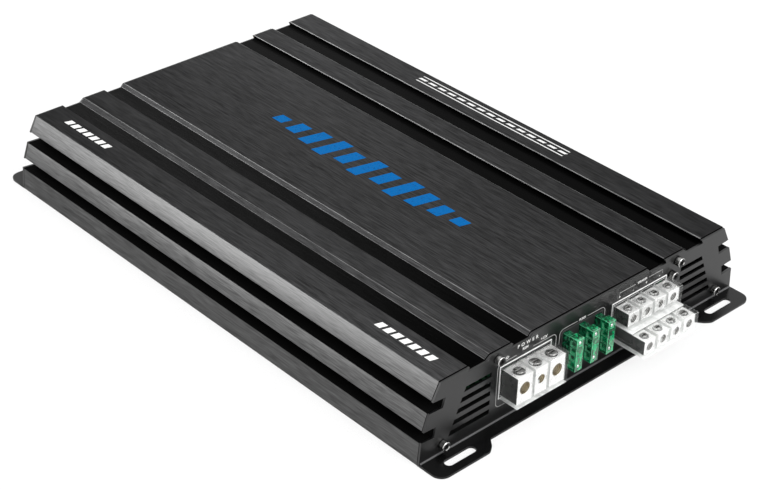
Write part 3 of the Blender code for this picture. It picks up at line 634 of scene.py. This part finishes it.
# ---------------------------------------------------------------- heatsink
def heatsink_profile():
    """One half of the section, from the middle of the top outwards and back inside.

    Each corner is (y, z, corner radius, kind of the face that follows).
    """
    floor = TOP - 2.0
    return [
        (42.2, TOP, 0.5, "slope"),
        (44.0, floor, 0.35, "groove"),
        (56.1, floor, 0.0, "groove"),
        (57.4, floor - 0.25, 0.0, "groove"),
        (56.3, floor + 0.45, 0.0, "groove"),
        (55.4, TOP, 0.4, "top"),
        (70.4, TOP, 0.5, "slope"),
        (73.1, floor, 0.4, "groove"),
        (85.1, floor, 0.0, "groove"),
        (86.4, floor - 0.25, 0.0, "groove"),
        (85.3, floor + 0.45, 0.0, "groove"),
        (84.3, TOP, 0.4, "top"),
        (102.8, TOP, 0.7, "upper"),
        (107.6, 33.9, 0.5, "notch"),
        (99.3, 33.2, 0.6, "notch"),
        (100.9, 27.8, 0.6, "notch"),
        (109.6, 28.3, 0.5, "middle"),
        (112.8, 18.9, 0.5, "notch"),
        (104.8, 18.5, 0.6, "notch"),
        (105.9, 12.7, 0.6, "notch"),
        (114.0, 13.4, 0.5, "lower"),
        (115.0, 0.0, 0.3, "notch"),
        (104.0, 0.0, 0.0, "notch"),
        (104.0, 1.6, 0.0, "notch"),
        (96.0, 1.6, 0.0, "notch"),
        (96.0, 38.5, 0.0, "notch"),
        (69.3, 38.5, 0.0, "notch"),
        (69.3, 34.8, 1.2, "notch"),
        (61.7, 34.8, 1.2, "notch"),
        (61.7, 38.5, 0.0, "notch"),
    ]


def rounded_loop(corners, steps=4):
    """Replaces each corner of a closed (y, z, radius, kind) loop by an arc.

    An arc beside a slope gets the painted edge highlight, and one between a groove and the top is a lip.
    """
    points = []
    count = len(corners)
    for i, (y, z, radius, kind) in enumerate(corners):
        here = Vector((y, z))
        if radius <= 0:
            points.append((here, kind))
            continue
        to_last = (Vector(corners[i - 1][:2]) - here).normalized()
        to_next = (Vector(corners[(i + 1) % count][:2]) - here).normalized()
        half = math.acos(max(-1.0, min(1.0, to_last.dot(to_next)))) / 2
        reach = radius / math.tan(half)
        middle = here + (to_last + to_next).normalized() * radius / math.sin(half)
        start = here + to_last * reach - middle
        turn = math.pi - 2 * half
        sign = 1 if to_last.cross(to_next) < 0 else -1
        sides = {kind, corners[i - 1][3]}
        arc_kind = kind
        if "slope" in sides:
            arc_kind = "edge"
        elif sides == {"groove", "top"}:
            arc_kind = "lip"
        for step in range(steps + 1):
            angle = sign * turn * step / steps
            spun = Vector(
                (
                    start.x * math.cos(angle) - start.y * math.sin(angle),
                    start.x * math.sin(angle) + start.y * math.cos(angle),
                )
            )
            points.append((middle + spun, kind if step == steps else arc_kind))
    return points


def make_heatsink():
    """The extrusion's section drawn through its length. Only the lips on its far half get the painted edge
    highlight.
    """
    half = heatsink_profile()
    other = []
    for i, (y, z, radius, _) in enumerate(half):
        kind = half[i - 1][3] if i else "top"
        other.append((-y, z, radius, kind))
    loop = rounded_loop(half + other[::-1])
    kinds = {"top": 0, "slope": 0, "groove": 1, "notch": 2, "edge": 3, "upper": 4, "middle": 5, "lower": 6}
    shape = bmesh.new()
    rings = []
    for x in (-HALF_LENGTH, HALF_LENGTH):
        rings.append([shape.verts.new((x * MM, p.x * MM, p.y * MM)) for p, _ in loop])
    for i, (_, kind) in enumerate(loop):
        j = (i + 1) % len(loop)
        face = shape.faces.new([rings[0][i], rings[0][j], rings[1][j], rings[1][i]])
        # The painted highlight goes on the far half's lips only.
        if kind == "lip":
            kind = "edge" if loop[i][0].x > 0 else "top"
        face.material_index = kinds[kind]
    for ring in rings:
        cap = shape.faces.new(ring)
        cap.material_index = kinds["notch"]
    mesh = new_mesh("heatsink_finish", shape)
    obj = add_object("heatsink_finish", mesh, [ALUMINIUM, GROOVE, NOTCH_SHADE, EDGE_HIGHLIGHT, *FINS], "case", "heatsink")
    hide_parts("heatsink")
    smooth(obj, 25)


# ---------------------------------------------------------------- printed marks
def slanted_bar(x, y, width, height, lean=0.25):
    """A bar whose sides lean by a share of its height."""
    shift = height * lean / 2
    half = width / 2
    top, bottom = y + height / 2, y - height / 2
    return [
        (x - half - shift, bottom),
        (x + half - shift, bottom),
        (x + half + shift, top),
        (x - half + shift, top),
    ]


def make_top_marks():
    """Level bars in the middle, dashes between two rules on the far band, and dashes on the near one."""
    level = TOP + INK_GAP
    heights = [7, 11, 16, 20, 14, 20, 14, 20, 16, 11, 7]
    bar_pitch, rule_pitch, dash_pitch = 14.4, 8.0, 5.8
    bars = [slanted_bar(-72 + bar_pitch * i, 1.0, 8.2, height) for i, height in enumerate(heights)]
    flat_shape("level_bars", bars, level, "+Z", BLUE_INK)
    far = [slanted_bar(-55 + rule_pitch * i, 95.5, 5.4, 1.6, 0.8) for i in range(15)]
    far += [slanted_bar(1.0, y, 117.4, 0.7, 0.8) for y in (98.6, 92.4)]
    flat_shape("far_band_rules", far, level, "+Z", WHITE_INK)
    for name, first in (("left", -145.0), ("right", 114.0)):
        dashes = [slanted_bar(first + dash_pitch * i, -93.2, 4.0, 4.4, 0.3) for i in range(7)]
        flat_shape(f"near_band_dashes_{name}", dashes, level, "+Z", WHITE_INK)


def make_terminal_marks():
    """Frames round the terminals and the fuses, open where a word stands, and the words."""
    level = PLATE_OUT + INK_GAP
    width, turn = 0.34, 2.8
    power_corners = [*arc((-62.2, 32.2), turn, 90, 180), *arc((-62.2, 12.2), turn, 180, 270)]
    paths = [
        [(-52.5, 35.0), *power_corners, (-45.0, 9.4)],
        [(-41.0, 35.0), *arc((-27.4, 32.2), turn, 90, 0), (-24.6, 27.0)],
        [(-9.6, 35.2), *arc((-19.4, 32.4), turn, 90, 180), (-22.2, 27.0)],
        [(-2.4, 35.2), *arc((7.9, 32.4), turn, 90, 0), (10.7, 27.0)],
        [(21.0, 36.2), (21.0, 38.3), (33.2, 38.3)],
        [(43.4, 38.3), (54.0, 38.3), (54.0, 36.2)],
    ]
    flat_shape("terminal_lines", [stroke(path, width) for path in paths], level, "+X", PLATE_INK)
    words("word_power", "POWER", (level, -45.0, 39.4), 1.9, "+X", WHITE_INK, spacing=1.9)
    words("word_ground", "GND", (level, -60.2, 36.6), 1.5, "+X", WHITE_INK)
    words("word_remote", "REM", (level, -46.5, 36.6), 1.5, "+X", WHITE_INK)
    words("word_battery", "+12V", (level, -33.6, 36.6), 1.5, "+X", WHITE_INK)
    words("word_fuses", "FUSES", (level, -6.0, 35.2), 1.3, "+X", WHITE_INK)
    words("word_speaker", "SPEAKER", (level, 38.3, 38.3), 1.3, "+X", WHITE_INK)
    for y, sign in zip(SPEAKER_COLUMNS, "+-+-"):
        words(f"sign_{y:.0f}", sign, (level, y, 35.6), 1.8, "+X", WHITE_INK)


def make_control_marks():
    """A dial of ticks round each knob, with longer ones at both ends and the middle, and the words."""
    level = PLATE_OUT + INK_GAP
    ticks = []
    first_tick, tick_turn, inner = 230, 28, 4.0
    for y, z in KNOBS.values():
        for step in range(11):
            angle = math.radians(first_tick - tick_turn * step)
            outer = 5.2 if step % 5 else 5.8
            start = (y - inner * math.cos(angle), z + inner * math.sin(angle))
            end = (y - outer * math.cos(angle), z + outer * math.sin(angle))
            ticks.append(stroke([start, end], 0.35))
    flat_shape("knob_ticks", ticks, level, "-X", WHITE_INK)
    for name, (y, z) in KNOBS.items():
        text = "LEVEL" if "level" in name else "FREQ"
        words(f"word_{name}", text, (-level, y, z - 6.3), 1.3, "-X", WHITE_INK)
    for name, (y, z) in SWITCHES.items():
        words(f"word_{name}", "LP  HP", (-level, y, z - 3.6), 1.3, "-X", WHITE_INK)
    for name, y in RCA_COLUMNS.items():
        words(f"word_{name}_input", name.upper(), (-level, y, 39.2), 1.4, "-X", WHITE_INK)
    words("word_left", "L", (-level, 60.0, 30.7), 1.6, "-X", WHITE_INK)
    words("word_right", "R", (-level, 60.0, 17.0), 1.6, "-X", WHITE_INK)
    words("word_remote_port", "REMOTE", (-level, REMOTE_PORT_Y, 12.6), 1.3, "-X", WHITE_INK)
    words("word_light", "POWER", (-level, -55.0, 17.6), 1.3, "-X", WHITE_INK)


# ---------------------------------------------------------------- terminals, fuses and controls
def clamp_material(y, wire_z, hole_radius, shaded_side):
    """A tapped wire hole, painted shade on the side towards -Y where the clamp has one, and nickel
    elsewhere.
    """

    def pick(middle, normal):
        inside = math.hypot(middle.y - y, middle.z - wire_z) < hole_radius + 0.1
        if inside and abs(normal.x) < 0.7:
            return 1
        return 2 if shaded_side and normal.y < -0.9 else 0

    return pick


def housing_material(ribs, floor):
    """Frosted ribs between two places along Y, a frosted floor below a height, and clear walls."""

    def pick(middle, normal):
        rib = abs(normal.y) > 0.9 and ribs[0] < middle.y < ribs[1]
        return 1 if rib or (middle.z < floor and abs(normal.z) > 0.9) else 0

    return pick


def make_shade_ring(name, screw_node, block_node):
    """Painted shade: a thin near-black ring on the block around a clamp screw, where the tapped hole is."""
    low, high = (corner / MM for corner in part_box(screw_node))
    radius = (high.x - low.x) / 2
    at = ((low.x + high.x) / 2, (low.y + high.y) / 2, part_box(block_node)[1].z / MM)
    profile = [
        (radius - 0.1, 0.0),
        (radius - 0.1, 0.02),
        (radius + 0.1, 0.05),
        (radius + 0.55, 0.03),
        (radius + 0.6, 0.0),
        (radius - 0.1, 0.0),
    ]
    lathe(name, profile, at, "+Z", PAINTED_SHADE_BLACK)


def make_flange(name, housing):
    """The moulded rim of a housing where it meets the end plate, in the white of the painted edge
    highlight.
    """
    low, high = (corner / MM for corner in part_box(housing))
    rim, back, front = 0.5, PLATE_OUT + 0.06, PLATE_OUT + 0.55
    rim_low = (back, low.y - rim, low.z - rim)
    rim_high = (front, high.y + rim, high.z + rim)
    obj = block(name, rim_low, rim_high, CLEAR_EDGE_HIGHLIGHT, "case", "clear_plastic", 0)
    carve(obj, box_mesh(name + "_cutter", (back - 1, low.y, low.z), (front + 1, high.y, high.z)))
    bevel(obj, 0.12)


def make_terminals():
    """Housings first, then every clamp with its screw and a painted ring of shade round it."""
    # The housings' eased edges take the painted edge highlight.
    clear = [CLEAR, FROST, CLEAR_EDGE_HIGHLIGHT]
    make_flange("power_terminal_flange", "power_terminal_housing")
    make_flange("speaker_terminal_flange", "speaker_terminal_housing")
    pick = housing_material(POWER_RIBS, POWER_FLOOR)
    finished("power_terminal_housing", clear, 0.4, 2, pick, edge=2)
    pick = housing_material(SPEAKER_RIBS, SPEAKER_FLOOR)
    finished("speaker_terminal_housing", clear, 0.35, 2, pick, edge=2)
    shelf_low, shelf_high = zip((SPEAKER_BACK, SHELF_FRONT), SHELF_SIDES, SHELF_HEIGHTS)
    block("speaker_terminal_shelf", shelf_low, shelf_high, FROST, "case", "clear_plastic")
    # Painted shade: black blocks in the empty cells behind the lower row of clamps.
    for number, y in enumerate(SPEAKER_COLUMNS, 1):
        sides = (y - SHADE_BLOCK_HALF_WIDTH, y + SHADE_BLOCK_HALF_WIDTH)
        shade_low, shade_high = zip((SPEAKER_BACK, SHADE_BLOCK_FRONT), sides, SHADE_BLOCK_HEIGHTS)
        block(f"speaker_cell_shade_block_{number}", shade_low, shade_high, BLACK, "case", "")
    for name, y in POWER_CELLS.items():
        pick = clamp_material(y, POWER_WIRE_HEIGHT, POWER_HOLE_RADII[name], True)
        node = f"power_clamp_block_{name}"
        finished(node, [NICKEL, BRASS, CLAMP_SHADED_SIDE], 0.3, 2, pick)
        finished(f"power_clamp_screw_{name}", [STEEL_AND_RIM_SHADE], 0.15, 2)
        make_shade_ring(f"power_hole_shade_ring_{name}", f"power_clamp_screw_{name}", node)
    for tier, wire_z in SPEAKER_WIRE_HEIGHTS.items():
        for number, y in enumerate(SPEAKER_COLUMNS, 1):
            pick = clamp_material(y, wire_z, SPEAKER_HOLE_RADIUS, tier == "upper" or number == 1)
            node = f"speaker_clamp_block_{tier}_{number}"
            finished(node, [NICKEL, TIN_THREAD, CLAMP_SHADED_SIDE], 0.3, 2, pick)
            screw = f"speaker_clamp_screw_{tier}_{number}"
            finished(screw, [STEEL_AND_RIM_SHADE], 0.15, 2)
            make_shade_ring(f"speaker_hole_rim_{tier}_{number}", screw, node)


def fuse_recesses(low, high):
    """Moulded windows in both sides of a fuse's head, and the sunk test points in its front."""
    middle_y, middle_z = (low.y + high.y) / 2, (low.z + high.z) / 2
    back, front = high.x - FUSE_HEAD_DEPTH + 0.9, high.x - 0.9
    half_height, depth = 1.5, 0.8
    cutters = []
    for y in (low.y, high.y):
        for z in (middle_z + offset for offset in (-6.1, -2.05, 2.05, 6.1)):
            cutters.append(((back, y - depth, z - half_height), (front, y + depth, z + half_height)))
    for z in (middle_z - FUSE_TEST_POINT, middle_z + FUSE_TEST_POINT):
        cutters.append(((high.x - 0.7, middle_y - 1.0, z - 1.3), (high.x + 1.0, middle_y + 1.0, z + 1.3)))
    return cutters


def make_fuses():
    """Each fuse rides on its own body: head, stem, link, test points, and a rib with the rating."""
    finished("fuse_holder", [BLACK], 0.2)
    greens = [GREEN, STEM_GREEN_SHADE, GREEN_EDGE_HIGHLIGHT]
    point = [(0.75, -0.75), (0.95, -0.4), (0.7, -0.15), (0.3, -0.05), (0, -0.05)]
    for number, y in enumerate(FUSE_CENTRES, 1):
        body = f"fuse_{number}"
        low, high = (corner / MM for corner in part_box(f"fuse_body_{number}"))

        # The head takes the green, and the stem behind it takes the painted shade.
        def pick(middle, normal, head_back=high.x - FUSE_HEAD_DEPTH):
            return 0 if middle.x > head_back - 0.01 else 1

        finished(f"fuse_body_{number}", greens, 0.18, 2, pick, fuse_recesses(low, high), edge=2)
        finished(f"fuse_link_{number}", [TIN], 0.08, 2)
        middle = (low.z + high.z) / 2
        for side, z in (("top", middle + FUSE_TEST_POINT), ("bottom", middle - FUSE_TEST_POINT)):
            name = f"fuse_test_point_{number}_{side}"
            lathe(name, point, (high.x, y, z), "+X", TIN, body, "fuse_metal", 16)
        rib_low = (high.x - 0.3, y - 1.7, middle - 4.3)
        rib_high = (high.x + 0.25, y + 1.7, middle + 4.3)
        block(f"fuse_rib_{number}", rib_low, rib_high, GREEN, body, "green_plastic", 0.2)
        words(f"fuse_rating_{number}", "30", (high.x + 0.27, y, middle), 2.4, "+X", FUSE_INK, body=body)


def make_controls():
    """Knobs with their pointers, switch caps, input jacks, the control socket and the status light."""
    for name, (y, z) in KNOBS.items():
        body = f"{name}_knob"
        finished(f"knob_{name}", [BLACK], 0.25, 2)
        slot_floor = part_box(f"knob_{name}")[0].x / MM + KNOB_SLOT_DEPTH
        low = (slot_floor - 0.25, y - 0.42, z + 0.5)
        high = (slot_floor + 0.05, y + 0.42, z + 2.3)
        block(f"knob_pointer_{name}", low, high, WHITE_PLASTIC, body, "", 0)
    for name in SWITCHES:
        finished(f"switch_{name}", [WHITE_PLASTIC], 0.2, 2)
    finished("control_board", [BOARD], 0.05, 1)
    for column, y in RCA_COLUMNS.items():
        finished(f"rca_jacks_{column}", [BLACK], 0.15, 2)
        for side, z in RCA_HEIGHTS.items():
            make_rca_shell(f"{column}_{side}", y, z, WHITE_PLASTIC if side == "left" else RED_PLASTIC)
    finished("remote_port", [BLACK], 0.2, 2)
    for i in range(6):
        y = REMOTE_PORT_Y - 2.5 + i
        block(f"remote_contact_{i}", (-162.0, y - 0.2, 19.2), (-156.0, y + 0.2, 20.0), GOLD, "case", "", 0)
    finished("status_light", [LENS], 0.1, 2)


def make_rca_shell(name, y, z, insulator):
    """The gold-plated sleeve of an input jack, and its coloured insulator."""
    end = 9.5
    sleeve = [
        (4.2, -0.2),
        (4.32, -0.2),
        (4.32, end - 0.3),
        (4.1, end + 0.02),
        (3.5, end + 0.02),
        (3.4, end - 0.1),
        (4.15, end - 0.5),
        (4.2, -0.2),
    ]
    lathe(f"rca_sleeve_{name}", sleeve, (-PLATE_OUT, y, z), "-X", GOLD)
    ring = [(1.7, end - 0.2), (3.45, end - 0.2), (3.45, end + 0.03), (1.8, end + 0.03), (1.7, end - 0.2)]
    lathe(f"rca_insulator_{name}", ring, (-PLATE_OUT, y, z), "-X", insulator)


# ---------------------------------------------------------------- case
def socket_screw_material(node):
    """Painted shade in the hexagon socket and on the rim round the head, and a bright front."""
    low, high = (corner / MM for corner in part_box(node))
    axis_y, axis_z = (low.y + high.y) / 2, (low.z + high.z) / 2

    def pick(middle, normal):
        if math.hypot(middle.y - axis_y, middle.z - axis_z) < SCREW_SOCKET_RADIUS:
            return 1
        return 2 if abs(normal.x) < 0.3 else 0

    return pick


def plate_material(middle, normal):
    """Painted shade: the flange and the feet of an end plate take a darker copy of its paint."""
    return 1 if middle.z < FLANGE_TOP else 0


def make_fold(end, side):
    """The inner radius where an end plate folds into its flange, lighter than the plate: a painted
    highlight.
    """
    sunk = 0.05
    curve = arc((PLATE_OUT + FOLD_RADIUS, SHEET + FOLD_RADIUS), FOLD_RADIUS, 180, 270, 5)
    outline = [(PLATE_OUT - sunk, SHEET - sunk), *curve]
    shape = bmesh.new()
    rings = []
    for y in (-FOLD_REACH, FOLD_REACH):
        rings.append([shape.verts.new((side * x * MM, y * MM, z * MM)) for x, z in outline])
    for i in range(len(outline)):
        j = (i + 1) % len(outline)
        shape.faces.new([rings[0][i], rings[0][j], rings[1][j], rings[1][i]])
    for ring in rings:
        shape.faces.new(ring)
    name = f"{end}_plate_fold"
    smooth(add_object(name, new_mesh(name, shape), [FOLD_HIGHLIGHT], "case", ""))


def make_case():
    """The shells and their screws, and the pieces inside, which show only through the vents and windows."""
    make_heatsink()
    make_fold("terminal", 1)
    make_fold("control", -1)
    for end in ("terminal", "control"):
        finished(f"{end}_end_plate", [PLATE, FLANGE_SHADE], 0.22, 2, plate_material)
    finished("bottom_cover", [COVER], 0.2, 2)
    screws = [f"{end}_plate_screw_{number}" for end in ("terminal", "control") for number in range(1, 5)]
    for node in [*screws, "terminal_block_screw"]:
        finished(node, [BRIGHT_STEEL, PAINTED_SHADE_BLACK, STEEL_AND_RIM_SHADE], 0.15, 2, socket_screw_material(node))
    keep("main_board", BOARD)
    keep("toroid_transformer", COPPER)
    keep("capacitor_bank", SLEEVE)
    keep("transistor_bank_near", BLACK)
    keep("transistor_bank_far", BLACK)


# ---------------------------------------------------------------- studio
def make_floor():
    """A pale floor that lets most of the background through, and fades out beyond the object."""
    shape = bmesh.new()
    bmesh.ops.create_circle(shape, cap_ends=True, segments=96, radius=FLOOR_END)
    mesh = new_mesh("floor", shape)
    floor = bpy.data.objects.new("floor", mesh)
    bpy.context.scene.collection.objects.link(floor)
    floor.location.z = -FLOOR_DROP
    surface = Surface("pale_floor", Metallic=0.0, Roughness=0.9)
    cloud = surface.noise((3, 3, 3), 1.0)
    surface.colour(cloud, [(0.3, grey(0.86)), (0.7, grey(0.88))])
    coordinates = surface.nodes.new("ShaderNodeTexCoord")
    distance = surface.nodes.new("ShaderNodeVectorMath")
    distance.operation = "LENGTH"
    surface.links.new(coordinates.outputs["Object"], distance.inputs[0])
    surface.between(distance.outputs["Value"], "Alpha", FLOOR_COVER, 0.0, (FLOOR_FADE, FLOOR_END))
    floor.data.materials.append(surface.material)


def add_light(name, place, target, size, power):
    """A soft box at a place, aimed at a target, in metres and watts."""
    light = bpy.data.lights.new(name, "AREA")
    light.shape = "RECTANGLE"
    light.size, light.size_y = size
    light.energy = power
    lamp = bpy.data.objects.new(name, light)
    bpy.context.scene.collection.objects.link(lamp)
    lamp.location = place
    lamp.visible_camera = False
    lamp.rotation_euler = (Vector(target) - Vector(place)).to_track_quat("-Z", "Y").to_euler()


def make_studio():
    """A white world, which gives most of the light, and five soft boxes that shape the metal."""
    world = bpy.data.worlds.new("studio")
    bpy.context.scene.world = world
    world.use_nodes = True
    background = world.node_tree.nodes["Background"]
    background.inputs["Color"].default_value = (1.0, 1.0, 1.0, 1.0)
    background.inputs["Strength"].default_value = 1.0
    add_light("overhead", (0.1, 0.0, 2.2), (0, 0, 0), (3.0, 3.0), 10)
    add_light("terminal_side", (1.5, 0.25, 1.1), (0.16, 0, 0.02), (1.2, 0.8), 20)
    add_light("near_side", (-0.70, -0.93, 0.25), (0.03, -0.105, 0.038), (0.34, 0.3), 3.3)
    add_light("near_left_high", (-1.06, -0.57, 0.78), (-0.12, -0.05, 0.04), (0.4, 0.4), 3.0)
    add_light("behind_far_corner", (-0.8, 0.65, 0.46), (-0.155, 0.09, 0.043), (0.3, 0.3), 0.22)
    bpy.context.scene.view_settings.view_transform = "Standard"


def make_camera():
    """The camera stands off the near corner of the terminal end."""
    azimuth, elevation, roll = map(math.radians, (CAMERA_AZIMUTH, CAMERA_ELEVATION, CAMERA_ROLL))
    back = Vector(
        (
            math.sin(azimuth) * math.cos(elevation),
            -math.cos(azimuth) * math.cos(elevation),
            math.sin(elevation),
        )
    )
    right = Vector((math.cos(azimuth), math.sin(azimuth), 0.0))
    up = back.cross(right)
    turned_right = math.cos(roll) * right + math.sin(roll) * up
    turned_up = -math.sin(roll) * right + math.cos(roll) * up
    lens = bpy.data.cameras.new("camera")
    lens.sensor_width = 36.0
    lens.lens = CAMERA_LENS
    lens.clip_end = 50.0
    camera = bpy.data.objects.new("camera", lens)
    bpy.context.scene.collection.objects.link(camera)
    axes = Matrix((turned_right, turned_up, back)).transposed().to_4x4()
    camera.matrix_world = Matrix.Translation(CAMERA_PLACE) @ axes
    bpy.context.scene.camera = camera


make_camera()
make_case()
make_top_marks()
make_terminal_marks()
make_control_marks()
make_terminals()
make_fuses()
make_controls()
make_floor()
make_studio()
